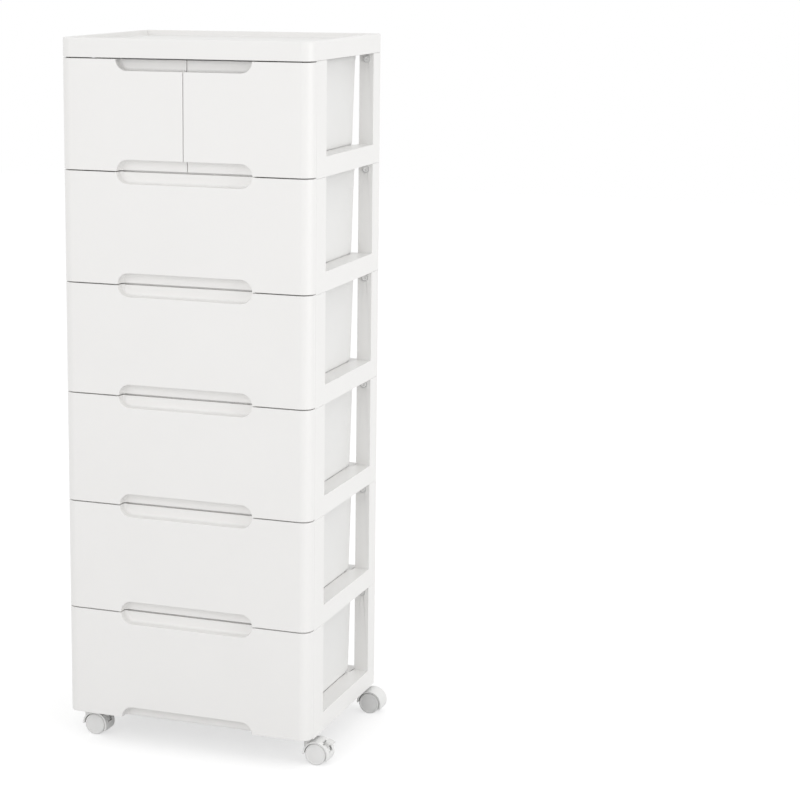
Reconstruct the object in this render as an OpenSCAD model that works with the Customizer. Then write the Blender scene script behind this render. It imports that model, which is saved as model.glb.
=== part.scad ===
// Drawer tower: six stacked moulded frames under a tray top, five wide drawers,
// two half-width drawers in the top tier, and four twin-wheel casters.
// The origin is the middle of the footprint on the floor. +Z is up and the drawers open towards -Y.

/* [Tower] */
// Overall width across the drawer fronts
tower_w = 471; // [420:1:520]
// Overall depth, from the drawer fronts to the backs of the rear posts
tower_d = 367; // [330:1:410]
// Height from the underside of one frame to the underside of the next
tier_pitch = 200; // [170:1:230]
// Height of the lowest frame above the floor
foot_h = 50; // [49:1:56]
// Radius of the tower's two front corners
corner_r = 20; // [12:1:24]
// Radius of the tower's two rear corners
rear_corner_r = 4; // [2:0.5:6]

/* [Frames] */
// Height of the ring at the bottom of each frame
ring_h = 35; // [30:1:42]
// Thickness of the frame's moulded walls
frame_wall = 2.5; // [2:0.1:3.5]
// Width of the ledge along the top of each side rail
ledge_w = 36; // [32:1:40]
// Width of each post, measured across the tower
post_w = 27.3; // [24:0.1:30]
// Depth of each front post, measured front to back
front_post_d = 50; // [44:1:60]
// Depth of each rear post, measured front to back
rear_post_d = 41; // [36:1:48]
// Length of the slope where the ledge narrows to the rear post
ledge_slope_l = 40; // [20:1:60]
// Drop from the ledge to the track that the drawer slides on
track_drop = 5; // [3:0.5:7]
// Width of the track on each side
track_w = 20; // [16:1:26]
// Thickness of the track's floor
track_t = 3; // [2:0.5:4]
// Depth of the cross rail behind the drawer fronts
front_rail_d = 24; // [18:1:32]
// Depth of the cross rail at the back
rear_rail_d = 17.5; // [14:0.5:24]
// Distance between the ribs inside a rail
rib_pitch = 62; // [40:1:90]
// Thickness of the ribs
rib_t = 2; // [1.5:0.5:3]
// Width of the middle track under the two top drawers
mid_track_w = 60; // [50:1:76]
// Height of the fin between the two top drawers, above their track
fin_h = 10; // [6:1:16]
// Thickness of that fin
fin_t = 2; // [1.5:0.5:3]
// Gap where one moulding is stacked on the next
stack_gap = 0.3; // [0.2:0.1:0.5]

/* [Post joints] */
// Length of the tongue that plugs into the post below
tongue_l = 22; // [20:1:30]
// Clearance between a tongue and the inside of its post
tongue_fit = 0.3; // [0.2:0.1:0.5]
// Diameter of a lock pin's shank
pin_d = 8; // [6:0.5:9]
// Diameter of a lock pin's head
pin_head_d = 14.5; // [12:0.5:17]
// Height of a lock pin's head
pin_head_h = 2.2; // [1.5:0.1:3]
// Diameter of the dimple in a lock pin's head
pin_dimple_d = 4; // [3:0.5:5]
// Distance of the lock pins below the frame above
pin_drop = 10.2; // [9:0.1:12]
// Distance of the lock pins from the side of the tower
pin_inset = 13.1; // [11:0.1:15]
// Radial clearance of a lock pin in its holes
pin_fit = 0.1; // [0.05:0.05:0.2]

/* [Tray top] */
// Height of the tray top
cap_h = 34; // [28:1:42]
// Depth of the tray
tray_depth = 10; // [6:1:14]
// Width of the rim round the tray
rim_w = 9; // [6:1:14]
// Wall thickness of the tray top
cap_wall = 2.5; // [2:0.1:3.5]
// Depth of the ribs under the tray
cap_rib_h = 8; // [4:1:11]
// Distance between the ribs under the tray
cap_rib_pitch = 78; // [50:1:110]

/* [Drawer fronts] */
// Depth of a drawer front, with its curved corners
front_d = 26; // [25:1:34]
// Wall thickness of a drawer front
front_wall = 2.5; // [2:0.1:3.5]
// Distance of a front's lower edge above the underside of its frame
front_lift = 3.3; // [2:0.1:5]
// Gap between two fronts, one above the other
seam = 2; // [1:0.1:3]
// Gap between the two top drawers' fronts
split = 1.2; // [0.8:0.1:3]
// Gap between a front and the frame or the tub behind it
front_gap = 0.4; // [0.3:0.1:1]
// Length of the finger grip across a seam
grip_w = 258; // [200:1:300]
// Half of the grip's height, which is also the radius of its ends
grip_r = 21; // [16:1:24]
// Depth of the grip into the fronts
grip_d = 18.5; // [14:0.5:20]
// Width of a clip that holds a front on its tub
clip_w = 16; // [10:1:22]
// Thickness of a clip's tongue
clip_t = 2.4; // [2:0.1:3.5]
// Height of a clip's barb
clip_barb = 1.4; // [1:0.1:2]
// Clearance of a clip in its slot
clip_fit = 0.4; // [0.3:0.1:0.6]
// Height of the lower clips above the round edge of the tub's floor
clip_low = 22; // [10:1:40]
// Distance of the upper clips below the tub's rim
clip_high = 34; // [22:1:60]

/* [Drawer tubs] */
// Wall thickness of a tub
tub_wall = 2.2; // [1.8:0.1:3]
// Gap from a tub's rim to the frame above
tub_top_gap = 7; // [5:1:20]
// Gap from a tub's rim to the rear and front posts at its side
tub_side_gap = 4.6; // [3:0.1:7]
// Gap from a tub's rim to the rear cross rail
tub_rear_gap = 24; // [10:1:30]
// Gap between the two top tubs at their rims
tub_mid_gap = 2; // [1:0.5:4]
// How far each side wall leans in from rim to floor
side_draft = 3.5; // [3:0.5:7]
// How far the rear wall leans in from rim to floor
rear_draft = 4.5; // [4:0.5:10]
// Radius of a tub's upright corners
tub_corner_r = 12; // [8:1:16]
// Radius of the edge round a tub's floor
tub_edge_r = 10; // [6:1:12]
// Running gap between a tub and its track
track_gap = 0.3; // [0.2:0.1:0.6]

/* [Casters] */
// Diameter of the wheels
wheel_d = 40; // [36:1:42]
// Width of each wheel
wheel_t = 12; // [10:0.5:14]
// Thickness of the fork plate between the two wheels
web_t = 12; // [11:0.5:14]
// Sideways gap between a wheel and the fork plate or the hood
wheel_gap = 0.4; // [0.3:0.1:0.8]
// Diameter of the axle
axle_d = 6; // [5:0.5:7]
// Radial clearance of a turning fit
run_fit = 0.05; // [0.03:0.01:0.1]
// Distance from the swivel axis to the axle
trail = 20; // [18:0.5:22]
// Thickness of the hood over the wheels
hood_t = 3; // [2:0.5:4]
// Gap between the wheels and the hood
hood_gap = 1; // [0.8:0.1:1.5]
// Angle below the axle at which the hood ends
hood_end = 28; // [15:1:35]
// Diameter of the swivel stem
stem_d = 8; // [7:0.5:9]
// Length of the stem inside the frame
stem_l = 24; // [18:1:26]
// Diameter of the hub round the stem
hub_d = 14; // [13:0.5:16]
// Diameter of the stem's collar
collar_d = 17; // [14:0.5:20]
// Height of the stem's collar
collar_h = 1.8; // [1.2:0.1:2.4]
// Distance of the stems from the side of the tower
stem_inset = 18; // [16:0.5:22]
// Distance of the front stems behind the drawer fronts
stem_front = 48; // [44:1:54]
// Distance of the rear stems from the back
stem_rear = 21; // [18:0.5:24]
// Width of the brake pedal
pedal_w = 15; // [12:0.5:17]
// Reach of the brake pedal beyond the axle
pedal_reach = 30; // [27:0.5:33]
// Diameter of the brake lever's pin
lever_pin_d = 3; // [2.5:0.1:3.5]
// Thickness of the fork plate where the brake lever straddles it
lever_web_t = 5; // [4:0.5:6]

/* [Hidden] */

$fn = 96;
tiers = 6;
eps = 0.01;
plastic = [0.93, 0.93, 0.92];
tub_white = [0.90, 0.91, 0.90];
grey_plastic = [0.85, 0.85, 0.84];
steel = [0.72, 0.73, 0.74];

front_y = -tower_d / 2;
rear_y = tower_d / 2;
frame_y = front_y + front_d + front_gap;
side_x = tower_w / 2;
post_x = side_x - post_w;
ledge_x = side_x - ledge_w;
track_x = ledge_x - track_w;
track_z = ring_h - track_drop;
window_y0 = frame_y + front_post_d;
window_y1 = rear_y - rear_post_d;
rear_rail_y = rear_y - rear_rail_d;
cap_z = foot_h + tiers * tier_pitch;

tub_y0 = frame_y;
tub_y1 = rear_rail_y - tub_rear_gap;
tub_x1 = post_x - tub_side_gap;
tub_z0 = track_z + track_gap;
tub_z1 = tier_pitch - tub_top_gap;

wheel_r = wheel_d / 2;
wheel_y0 = web_t / 2 + wheel_gap;
hood_r = wheel_r + hood_gap;
hood_half = wheel_y0 + wheel_t + wheel_gap;
collar_z = foot_h - stack_gap - collar_h;
stem_bottom = wheel_r + 12;
hub_z0 = wheel_r + 6;
lever_pivot = [wheel_r * 0.6, wheel_r * 0.55];

function tier_z(k) = foot_h + (k - 1) * tier_pitch;
function front_z1(k) = k == tiers ? tier_pitch - seam : tier_pitch + front_lift - seam;

// ---------------------------------------------------------------- flat outlines

// Rectangle from (x0, y0) to (x1, y1) with its own radius on the front and rear corners
module rounded_box_2d(x0, x1, y0, y1, rf, rr) {
    translate([x0 + rf, y0]) square([x1 - x0 - 2 * rf, rf + eps]);
    translate([x0, y0 + rf]) square([x1 - x0, y1 - y0 - rf - rr]);
    translate([x0 + rr, y1 - rr - eps]) square([x1 - x0 - 2 * rr, rr + eps]);
    for (x = [x0 + rf, x1 - rf]) translate([x, y0 + rf]) circle(r = rf);
    for (x = [x0 + rr, x1 - rr]) translate([x, y1 - rr]) circle(r = rr);
}

// Outline of a drawer front from above: a plain end is square, a corner end is round
module front_2d(x0, x1, inset, left_round, right_round) {
    r = corner_r - inset;
    y0 = front_y + inset;
    xl = x0 + (left_round ? r : 0);
    xr = x1 - (right_round ? r : 0);
    translate([xl, y0]) square([xr - xl, front_d - inset]);
    translate([x0, y0 + r]) square([x1 - x0, front_d - inset - r]);
    intersection() {
        translate([x0, y0]) square([x1 - x0, r + eps]);
        union() {
            if (left_round) translate([xl, y0 + r]) circle(r = r);
            if (right_round) translate([xr, y0 + r]) circle(r = r);
        }
    }
}

// Outline of the grip in the front view: a slot with round ends
module grip_2d(grow) {
    for (s = [-1, 1]) translate([s * (grip_w / 2 - grip_r), 0]) circle(r = grip_r + grow);
    square([grip_w - 2 * grip_r, 2 * (grip_r + grow)], center = true);
}

// The grip as a solid, centred on height z and reaching y_deep behind the front face
module grip_solid(z, grow, y_lead, y_deep) {
    translate([0, front_y + y_deep, z])
        rotate([90, 0, 0])
            linear_extrude(y_deep + y_lead) grip_2d(grow);
}

// ---------------------------------------------------------------- frames

// Side rail from above, right-hand side: the ledge narrows to the rear post
module ledge_2d() {
    polygon([
        [side_x, frame_y],
        [side_x, rear_y - rear_corner_r],
        [side_x - rear_corner_r, rear_y],
        [post_x, rear_y],
        [post_x, window_y1],
        [ledge_x, window_y1 - ledge_slope_l],
        [ledge_x, frame_y]
    ]);
    translate([side_x - rear_corner_r, rear_y - rear_corner_r]) circle(r = rear_corner_r);
}

// Cells that hollow a rail from below, leaving ribs between them
module rail_cells_2d(x0, x1, y0, y1) {
    count = max(1, round((y1 - y0) / rib_pitch));
    step = (y1 - y0) / count;
    for (i = [0 : count - 1])
        translate([x0, y0 + i * step + rib_t / 2]) square([x1 - x0, step - rib_t]);
}

module side_rail() {
    difference() {
        union() {
            linear_extrude(ring_h) ledge_2d();
            translate([track_x, frame_y, 0])
                cube([track_w + eps, rear_y - frame_y - rear_corner_r, track_z]);
        }
        // Hollow under the ledge between the posts
        translate([0, 0, -eps])
            linear_extrude(track_z - frame_wall)
                rail_cells_2d(ledge_x + frame_wall, side_x - frame_wall,
                              window_y0, window_y1 - ledge_slope_l);
        // Hollow under the track
        translate([0, 0, -eps])
            linear_extrude(track_z - track_t)
                rail_cells_2d(track_x + frame_wall, ledge_x,
                              frame_y + frame_wall, rear_rail_y);
    }
}

// Cross rail open at the bottom, between the two tracks
module cross_rail(y0, depth, height) {
    x1 = track_x + eps;
    difference() {
        translate([-x1, y0, 0]) cube([2 * x1, depth, height]);
        translate([0, 0, -eps])
            linear_extrude(height - frame_wall)
                rotate(-90)
                    rail_cells_2d(-y0 - depth + frame_wall, -y0 - frame_wall, -track_x, track_x);
    }
}

// One post as a tube, open at its top for the tongue above
module post(y0, depth, rear) {
    z1 = tier_pitch - stack_gap;
    difference() {
        translate([0, 0, ring_h - eps])
            linear_extrude(z1 - ring_h + eps)
                difference() {
                    intersection() {
                        translate([post_x, y0]) square([post_w, depth]);
                        ledge_2d();
                    }
                    translate([post_x + frame_wall, y0 + frame_wall])
                        square([post_w - 2 * frame_wall, depth - 2 * frame_wall]);
                }
        if (rear)
            translate([side_x - pin_inset, y0 - 1, tier_pitch - pin_drop])
                rotate([-90, 0, 0])
                    cylinder(d = pin_d + 2 * pin_fit, h = frame_wall + 2);
    }
}

// Tongue that hangs from a moulding into the post below it
module tongue(y0, depth, rear, top_z) {
    w = post_w - 2 * (frame_wall + tongue_fit);
    d = depth - 2 * (frame_wall + tongue_fit);
    difference() {
        translate([post_x + frame_wall + tongue_fit, y0 + frame_wall + tongue_fit, -tongue_l])
            cube([w, d, tongue_l + top_z]);
        translate([post_x + 2 * frame_wall + tongue_fit, y0 + 2 * frame_wall + tongue_fit,
                   -tongue_l - eps])
            cube([w - 2 * frame_wall, d - 2 * frame_wall, tongue_l]);
        if (rear)
            translate([side_x - pin_inset, y0, -pin_drop])
                rotate([-90, 0, 0])
                    cylinder(d = pin_d + 2 * pin_fit, h = 2 * frame_wall + 2 * tongue_fit);
    }
}

module four_tongues(top_z) {
    for (m = [0, 1]) mirror([m, 0, 0]) {
        tongue(frame_y, front_post_d, false, top_z);
        tongue(window_y1, rear_post_d, true, top_z);
    }
}

// Middle track and guide fin for the two half-width drawers
module mid_track() {
    y0 = frame_y + front_rail_d - eps;
    length = rear_rail_y - y0 + eps;
    difference() {
        translate([-mid_track_w / 2, y0, 0]) cube([mid_track_w, length, track_z]);
        translate([-mid_track_w / 2 + frame_wall, 0, -eps])
            linear_extrude(track_z - track_t)
                rail_cells_2d(0, mid_track_w - 2 * frame_wall, y0, y0 + length);
    }
    translate([-fin_t / 2, frame_y, 0])
        cube([fin_t, rear_rail_y - frame_y + eps, track_z + fin_h]);
}

module frame(k) {
    color(plastic) translate([0, 0, tier_z(k)]) {
        difference() {
            union() {
                for (m = [0, 1]) mirror([m, 0, 0]) {
                    side_rail();
                    post(frame_y, front_post_d, false);
                    post(window_y1, rear_post_d, true);
                }
                cross_rail(frame_y, front_rail_d, track_z);
                cross_rail(rear_rail_y, rear_rail_d, ring_h);
                if (k == tiers) mid_track();
                if (k > 1) four_tongues(eps);
            }
            if (k == 1) translate([0, 0, -foot_h]) stem_sockets();
        }
    }
}

// Blind sockets for the four caster stems, in the lowest frame
module stem_sockets() {
    for (sx = [-1, 1]) for (y = [front_y + stem_front, rear_y - stem_rear])
        translate([sx * (side_x - stem_inset), y, foot_h - 1])
            cylinder(d = stem_d + 2 * pin_fit, h = stem_l + 1 + stack_gap);
}

// Mushroom-headed pin that locks a tongue in its rear post, pointing to the back
module lock_pin() {
    reach = 1.5;
    edge_r = 1;
    dimple_h = 1;
    groove_w = 0.7;
    groove_h = 0.4;
    rotate([-90, 0, 0]) difference() {
        union() {
            cylinder(d = pin_d, h = 2 * frame_wall + tongue_fit + reach);
            translate([0, 0, -pin_head_h]) rotate_extrude() {
                square([pin_head_d / 2 - edge_r, pin_head_h]);
                translate([0, edge_r]) square([pin_head_d / 2, pin_head_h - edge_r]);
                translate([pin_head_d / 2 - edge_r, edge_r]) circle(r = edge_r);
            }
        }
        translate([0, 0, -pin_head_h - 1]) {
            cylinder(d = pin_dimple_d, h = 1 + dimple_h);
            difference() {
                cylinder(d = pin_d + 2 * groove_w, h = 1 + groove_h);
                cylinder(d = pin_d, h = 1 + groove_h);
            }
        }
    }
}

module post_lock_pins() {
    color(grey_plastic) for (k = [1 : tiers]) for (m = [0, 1]) mirror([m, 0, 0])
        translate([side_x - pin_inset, window_y1, tier_z(k + 1) - pin_drop]) lock_pin();
}

// ---------------------------------------------------------------- tray top

module top_tray() {
    floor_z = cap_h - tray_depth;
    color(plastic) translate([0, 0, cap_z]) {
        difference() {
            linear_extrude(cap_h)
                rounded_box_2d(-side_x, side_x, front_y, rear_y, corner_r, rear_corner_r);
            // The tray
            translate([0, 0, floor_z])
                linear_extrude(tray_depth + eps)
                    rounded_box_2d(-side_x + rim_w, side_x - rim_w, front_y + rim_w, rear_y - rim_w,
                                   corner_r - rim_w, rear_corner_r / 2);
            // The hollow underside
            translate([0, 0, -eps])
                linear_extrude(floor_z - cap_wall)
                    rounded_box_2d(-side_x + cap_wall, side_x - cap_wall,
                                   front_y + cap_wall, rear_y - cap_wall,
                                   corner_r - cap_wall, rear_corner_r / 2);
            // Groove in the hollow rim
            translate([0, 0, -eps])
                linear_extrude(cap_h - cap_wall)
                    difference() {
                        rounded_box_2d(-side_x + cap_wall, side_x - cap_wall,
                                       front_y + cap_wall, rear_y - cap_wall,
                                       corner_r - cap_wall, rear_corner_r / 2);
                        rounded_box_2d(-side_x + rim_w - cap_wall, side_x - rim_w + cap_wall,
                                       front_y + rim_w - cap_wall, rear_y - rim_w + cap_wall,
                                       corner_r - rim_w + cap_wall, rear_corner_r / 2);
                    }
        }
        cap_ribs(floor_z - cap_wall);
        four_tongues(floor_z - cap_wall + eps);
    }
}

// Crossed ribs under the tray's floor
module cap_ribs(top) {
    nx = max(2, round((tower_w - 2 * cap_wall) / cap_rib_pitch));
    ny = max(2, round((tower_d - 2 * cap_wall) / cap_rib_pitch));
    dx = (tower_w - 2 * cap_wall) / nx;
    dy = (tower_d - 2 * cap_wall) / ny;
    for (i = [1 : nx - 1])
        translate([-side_x + cap_wall + i * dx - rib_t / 2, front_y + cap_wall - eps, top - cap_rib_h])
            cube([rib_t, tower_d - 2 * cap_wall + 2 * eps, cap_rib_h + eps]);
    for (j = [1 : ny - 1])
        translate([-side_x + cap_wall - eps, front_y + cap_wall + j * dy - rib_t / 2, top - cap_rib_h])
            cube([tower_w - 2 * cap_wall + 2 * eps, rib_t, cap_rib_h + eps]);
}

// ---------------------------------------------------------------- drawers

// Heights of the clips above the frame's underside
function clip_heights() = [tub_z0 + tub_edge_r + clip_low, tub_z1 - clip_high];

// Clip positions across a drawer between x0 and x1
function clip_places(x0, x1) = [x0 + (x1 - x0) * 0.2, x0 + (x1 - x0) * 0.8];

// Moulded front shell with a grip half at its top and bottom edges
module drawer_front(k, x0, x1, left_round, right_round, tx0, tx1) {
    z0 = front_lift;
    z1 = front_z1(k);
    grip_zs = [z1 + seam / 2, z0 - seam / 2];
    color(plastic) translate([0, 0, tier_z(k)]) {
        difference() {
            union() {
                // Shell
                difference() {
                    translate([0, 0, z0])
                        linear_extrude(z1 - z0) front_2d(x0, x1, 0, left_round, right_round);
                    translate([0, eps, z0 + front_wall])
                        linear_extrude(z1 - z0 - 2 * front_wall)
                            front_2d(x0 + front_wall, x1 - front_wall, front_wall,
                                     left_round, right_round);
                }
                // Walls of the two grip halves
                intersection() {
                    translate([0, 0, z0])
                        linear_extrude(z1 - z0) front_2d(x0, x1, 0, left_round, right_round);
                    for (z = grip_zs) grip_solid(z, front_wall, 0, grip_d + front_wall);
                }
                // Uprights that stiffen the shell
                for (x = clip_places(x0, x1))
                    translate([x - rib_t / 2 - clip_w, front_y + front_wall - eps, z0 + eps])
                        cube([rib_t, front_d - front_wall, z1 - z0 - 2 * eps]);
            }
            for (z = grip_zs) grip_solid(z, 0, 1, grip_d);
        }
        for (x = clip_places(tx0, tx1)) for (z = clip_heights()) translate([x, 0, z]) clip();
    }
}

// Barbed tongue that runs from the front's face wall through a slot in the tub
module clip() {
    y_back = tub_y0 + tub_wall + clip_fit;
    translate([-clip_w / 2, front_y + front_wall - eps, -clip_t / 2])
        cube([clip_w, y_back + 3 - front_y - front_wall, clip_t]);
    translate([-clip_w / 2, y_back, clip_t / 2 - eps])
        rotate([90, 0, 90])
            linear_extrude(clip_w) polygon([[0, 0], [3, 0], [0, clip_barb]]);
}

// Slanted box with rounded corners and floor edge, in from the tub's outside by inset
module tub_form(x0, x1, lean0, lean1, inset, z0, z1) {
    r = tub_corner_r - inset;
    e = tub_edge_r - inset;
    lift = inset > 0 ? eps : 0;
    levels = [
        [z1 + lift, 0],
        [z0 + inset + e, 0],
        [z0 + inset + e * 0.45, e * 0.16],
        [z0 + inset + e * 0.12, e * 0.52],
        [z0 + inset, e]
    ];
    hull() for (level = levels) {
        s = (tub_z1 - level[0]) / (tub_z1 - tub_z0);
        q = max(r - level[1], 0.5);
        xa = x0 + inset + lean0 * s + level[1] + q;
        xb = x1 - inset - lean1 * s - level[1] - q;
        ya = tub_y0 + inset + level[1] + q;
        yb = tub_y1 - inset - rear_draft * s - level[1] - q;
        for (x = [xa, xb]) for (y = [ya, yb])
            translate([x, y, level[0]]) cylinder(r = q, h = eps, $fn = 32);
    }
}

module drawer_tub(k, x0, x1, lean0, lean1) {
    color(tub_white) translate([0, 0, tier_z(k)]) difference() {
        tub_form(x0, x1, lean0, lean1, 0, tub_z0, tub_z1 - eps);
        tub_form(x0, x1, lean0, lean1, tub_wall, tub_z0, tub_z1);
        for (x = clip_places(x0, x1)) for (z = clip_heights())
            translate([x - clip_w / 2 - clip_fit, tub_y0 - 1, z - clip_t / 2 - clip_fit])
                cube([clip_w + 2 * clip_fit, tub_wall + 2, clip_t + clip_barb + 2 * clip_fit]);
    }
}

module wide_front(k) {
    drawer_front(k, -side_x, side_x, true, true, -tub_x1, tub_x1);
}

module wide_tub(k) {
    drawer_tub(k, -tub_x1, tub_x1, side_draft, side_draft);
}

module half_front(left) {
    x = split / 2;
    t = tub_mid_gap / 2;
    if (left) drawer_front(tiers, -side_x, -x, true, false, -tub_x1, -t);
    else drawer_front(tiers, x, side_x, false, true, t, tub_x1);
}

module half_tub(left) {
    t = tub_mid_gap / 2;
    if (left) drawer_tub(tiers, -tub_x1, -t, side_draft, side_draft);
    else drawer_tub(tiers, t, tub_x1, side_draft, side_draft);
}

// ---------------------------------------------------------------- casters

// Stem positions and the direction in which the wheels trail
function caster_x(right) = (right ? 1 : -1) * (side_x - stem_inset);
function caster_y(rear) = rear ? rear_y - stem_rear : front_y + stem_front;

// Moves a caster, drawn with its swivel axis at the origin and trailing to +X, to its place
module place(right, rear, turn) {
    translate([caster_x(right), caster_y(rear), 0]) rotate(turn) children();
}

// Moves what is drawn round the axle to its height and trail
module at_axle() {
    translate([trail, 0, wheel_r]) children();
}

module caster_stem() {
    color(steel) {
        translate([0, 0, stem_bottom])
            cylinder(d = stem_d, h = foot_h + stem_l - stem_bottom);
        translate([0, 0, collar_z]) cylinder(d = collar_d, h = collar_h);
    }
}

// Side view of the hood: a band round the top of the wheels
module hood_band_2d() {
    difference() {
        circle(r = hood_r + hood_t);
        circle(r = hood_r);
        // Open below, from the stem side to the end on the other side
        polygon([
            [0, 0],
            [-2 * hood_r, 0],
            [-2 * hood_r, -2 * hood_r],
            [2 * hood_r, -2 * hood_r],
            [2 * hood_r, -2 * hood_r * tan(hood_end)]
        ]);
    }
}

// Side view of the fork plate between the wheels
module web_2d() {
    difference() {
        circle(r = hood_r + eps);
        translate([-2 * hood_r, -3 * hood_r]) square([4 * hood_r, 3 * hood_r - axle_d - 1]);
    }
}

module across(width) {
    rotate([90, 0, 0]) linear_extrude(width, center = true) children();
}

module caster_hood(brake) {
    color(plastic) difference() {
        union() {
            at_axle() across(2 * hood_half) hood_band_2d();
            at_axle() across(web_t) web_2d();
            translate([0, 0, hub_z0]) cylinder(d = hub_d, h = collar_z - stack_gap - hub_z0);
        }
        // Room for the wheels beside the hub
        for (s = [-1, 1]) translate([0, s * (web_t / 2 + wheel_t), 0])
            at_axle() across(2 * wheel_t) circle(r = hood_r);
        translate([0, 0, stem_bottom - 1]) cylinder(d = stem_d + 2 * run_fit, h = foot_h);
        at_axle() across(2 * hood_half + 1) circle(d = axle_d + 2 * run_fit);
        if (brake) at_axle() lever_room();
    }
}

// Slot in the hood, and the thinned fork plate that the brake lever straddles
module lever_room() {
    across(pedal_w + 2) intersection() {
        polygon([
            [0, 0],
            [2 * hood_r * cos(10), 2 * hood_r * sin(10)],
            [2 * hood_r * cos(62), 2 * hood_r * sin(62)]
        ]);
        difference() {
            circle(r = 2 * hood_r);
            circle(r = hood_r - eps);
        }
    }
    for (s = [-1, 1]) translate([0, s * (lever_web_t / 2 + web_t / 2), 0]) across(web_t)
        lever_sweep_2d();
    translate([lever_pivot[0], 0, lever_pivot[1]]) across(web_t + 1)
        circle(d = lever_pin_d + 2 * run_fit);
}

// Space that the lever's cheeks sweep
module lever_sweep_2d() {
    translate(lever_pivot) circle(r = 6.6);
    polygon([lever_pivot, [hood_r + 2, 0.2 * hood_r], [0.62 * hood_r, hood_r + 2]]);
}

module caster_axle() {
    color(steel) at_axle() across(2 * (wheel_y0 + wheel_t - 2.4)) circle(d = axle_d);
}

// Wheel on one side of the fork plate; side is 1 or -1
module wheel(side) {
    edge = 1.6;
    color(grey_plastic) at_axle() rotate([side > 0 ? -90 : 90, 0, 0]) difference() {
        translate([0, 0, wheel_y0]) rotate_extrude() polygon([
            [0, 0],
            [wheel_r - edge, 0],
            [wheel_r, edge],
            [wheel_r, wheel_t - 1.2 * edge],
            [wheel_r - 1.2 * edge, wheel_t],
            [wheel_r - 3.5, wheel_t],
            [wheel_r - 4.3, wheel_t - 0.7],
            [0, wheel_t - 0.3]
        ]);
        translate([0, 0, wheel_y0 - 1])
            cylinder(d = axle_d + 2 * run_fit, h = wheel_t - 2 + 1);
    }
}

// Brake lever: a pedal outside the hood and two cheeks that straddle the fork plate
module brake_lever() {
    cheek_t = (web_t - lever_web_t) / 2 - 0.7;
    color(grey_plastic) at_axle() {
        for (s = [-1, 1]) translate([0, s * (lever_web_t / 2 + 0.35 + cheek_t / 2), 0])
            across(cheek_t) {
                translate(lever_pivot) circle(r = 4.2);
                polygon([
                    lever_pivot + [-1, 4],
                    [hood_r * 0.78, hood_r * 1.1],
                    [pedal_reach - 6, hood_r * 0.86],
                    lever_pivot + [3.4, -2.4]
                ]);
            }
        translate([lever_pivot[0], 0, lever_pivot[1]]) across(lever_web_t + 1.4)
            circle(d = lever_pin_d);
        across(pedal_w) polygon([
            [hood_r * 0.78, hood_r * 1.1],
            [hood_r * 0.84, hood_r * 1.22],
            [pedal_reach - 5, hood_r * 1.12],
            [pedal_reach, hood_r * 0.98],
            [pedal_reach - 0.6, hood_r * 0.88],
            [pedal_reach - 6, hood_r * 0.86]
        ]);
    }
}

// ---------------------------------------------------------------- nodes

top_tray();
frame(1);  // tier_frame_1
frame(2);  // tier_frame_2
frame(3);  // tier_frame_3
frame(4);  // tier_frame_4
frame(5);  // tier_frame_5
frame(6);  // tier_frame_6
post_lock_pins();
wide_front(1);  // drawer_front_1
wide_front(2);  // drawer_front_2
wide_front(3);  // drawer_front_3
wide_front(4);  // drawer_front_4
wide_front(5);  // drawer_front_5
half_front(true);  // drawer_front_left
half_front(false);  // drawer_front_right
wide_tub(1);  // drawer_tub_1
wide_tub(2);  // drawer_tub_2
wide_tub(3);  // drawer_tub_3
wide_tub(4);  // drawer_tub_4
wide_tub(5);  // drawer_tub_5
half_tub(true);  // drawer_tub_left
half_tub(false);  // drawer_tub_right
place(false, false, 0) caster_stem();  // caster_stem_fl
place(true, false, 0) caster_stem();  // caster_stem_fr
place(false, true, 180) caster_stem();  // caster_stem_rl
place(true, true, 0) caster_stem();  // caster_stem_rr
place(false, false, 0) caster_hood(true);  // caster_hood_fl
place(true, false, 0) caster_hood(true);  // caster_hood_fr
place(false, true, 180) caster_hood(false);  // caster_hood_rl
place(true, true, 0) caster_hood(false);  // caster_hood_rr
place(false, false, 0) caster_axle();  // caster_axle_fl
place(true, false, 0) caster_axle();  // caster_axle_fr
place(false, true, 180) caster_axle();  // caster_axle_rl
place(true, true, 0) caster_axle();  // caster_axle_rr
place(false, false, 0) wheel(-1);  // wheel_outer_fl
place(true, false, 0) wheel(-1);  // wheel_outer_fr
place(false, true, 180) wheel(-1);  // wheel_outer_rl
place(true, true, 0) wheel(-1);  // wheel_outer_rr
place(false, false, 0) wheel(1);  // wheel_inner_fl
place(true, false, 0) wheel(1);  // wheel_inner_fr
place(false, true, 180) wheel(1);  // wheel_inner_rl
place(true, true, 0) wheel(1);  // wheel_inner_rr
place(false, false, 0) brake_lever();  // brake_lever_fl
place(true, false, 0) brake_lever();  // brake_lever_fr
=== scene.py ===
import math

import bmesh
import bpy
import numpy as np
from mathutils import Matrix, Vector


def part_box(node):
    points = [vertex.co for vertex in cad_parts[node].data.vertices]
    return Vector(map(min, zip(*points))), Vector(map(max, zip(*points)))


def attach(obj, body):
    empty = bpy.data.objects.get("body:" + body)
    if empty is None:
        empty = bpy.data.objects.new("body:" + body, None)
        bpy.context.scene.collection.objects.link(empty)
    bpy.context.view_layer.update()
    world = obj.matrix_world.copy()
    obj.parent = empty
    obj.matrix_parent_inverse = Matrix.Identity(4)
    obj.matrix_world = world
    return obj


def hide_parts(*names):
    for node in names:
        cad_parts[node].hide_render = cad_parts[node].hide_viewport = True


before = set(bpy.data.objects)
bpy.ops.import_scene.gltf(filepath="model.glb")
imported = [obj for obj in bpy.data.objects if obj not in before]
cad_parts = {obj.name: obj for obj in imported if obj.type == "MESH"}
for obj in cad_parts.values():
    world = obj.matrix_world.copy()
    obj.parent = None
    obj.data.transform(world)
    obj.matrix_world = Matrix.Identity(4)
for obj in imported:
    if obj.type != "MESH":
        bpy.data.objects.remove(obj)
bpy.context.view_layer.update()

mm = 0.001


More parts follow.
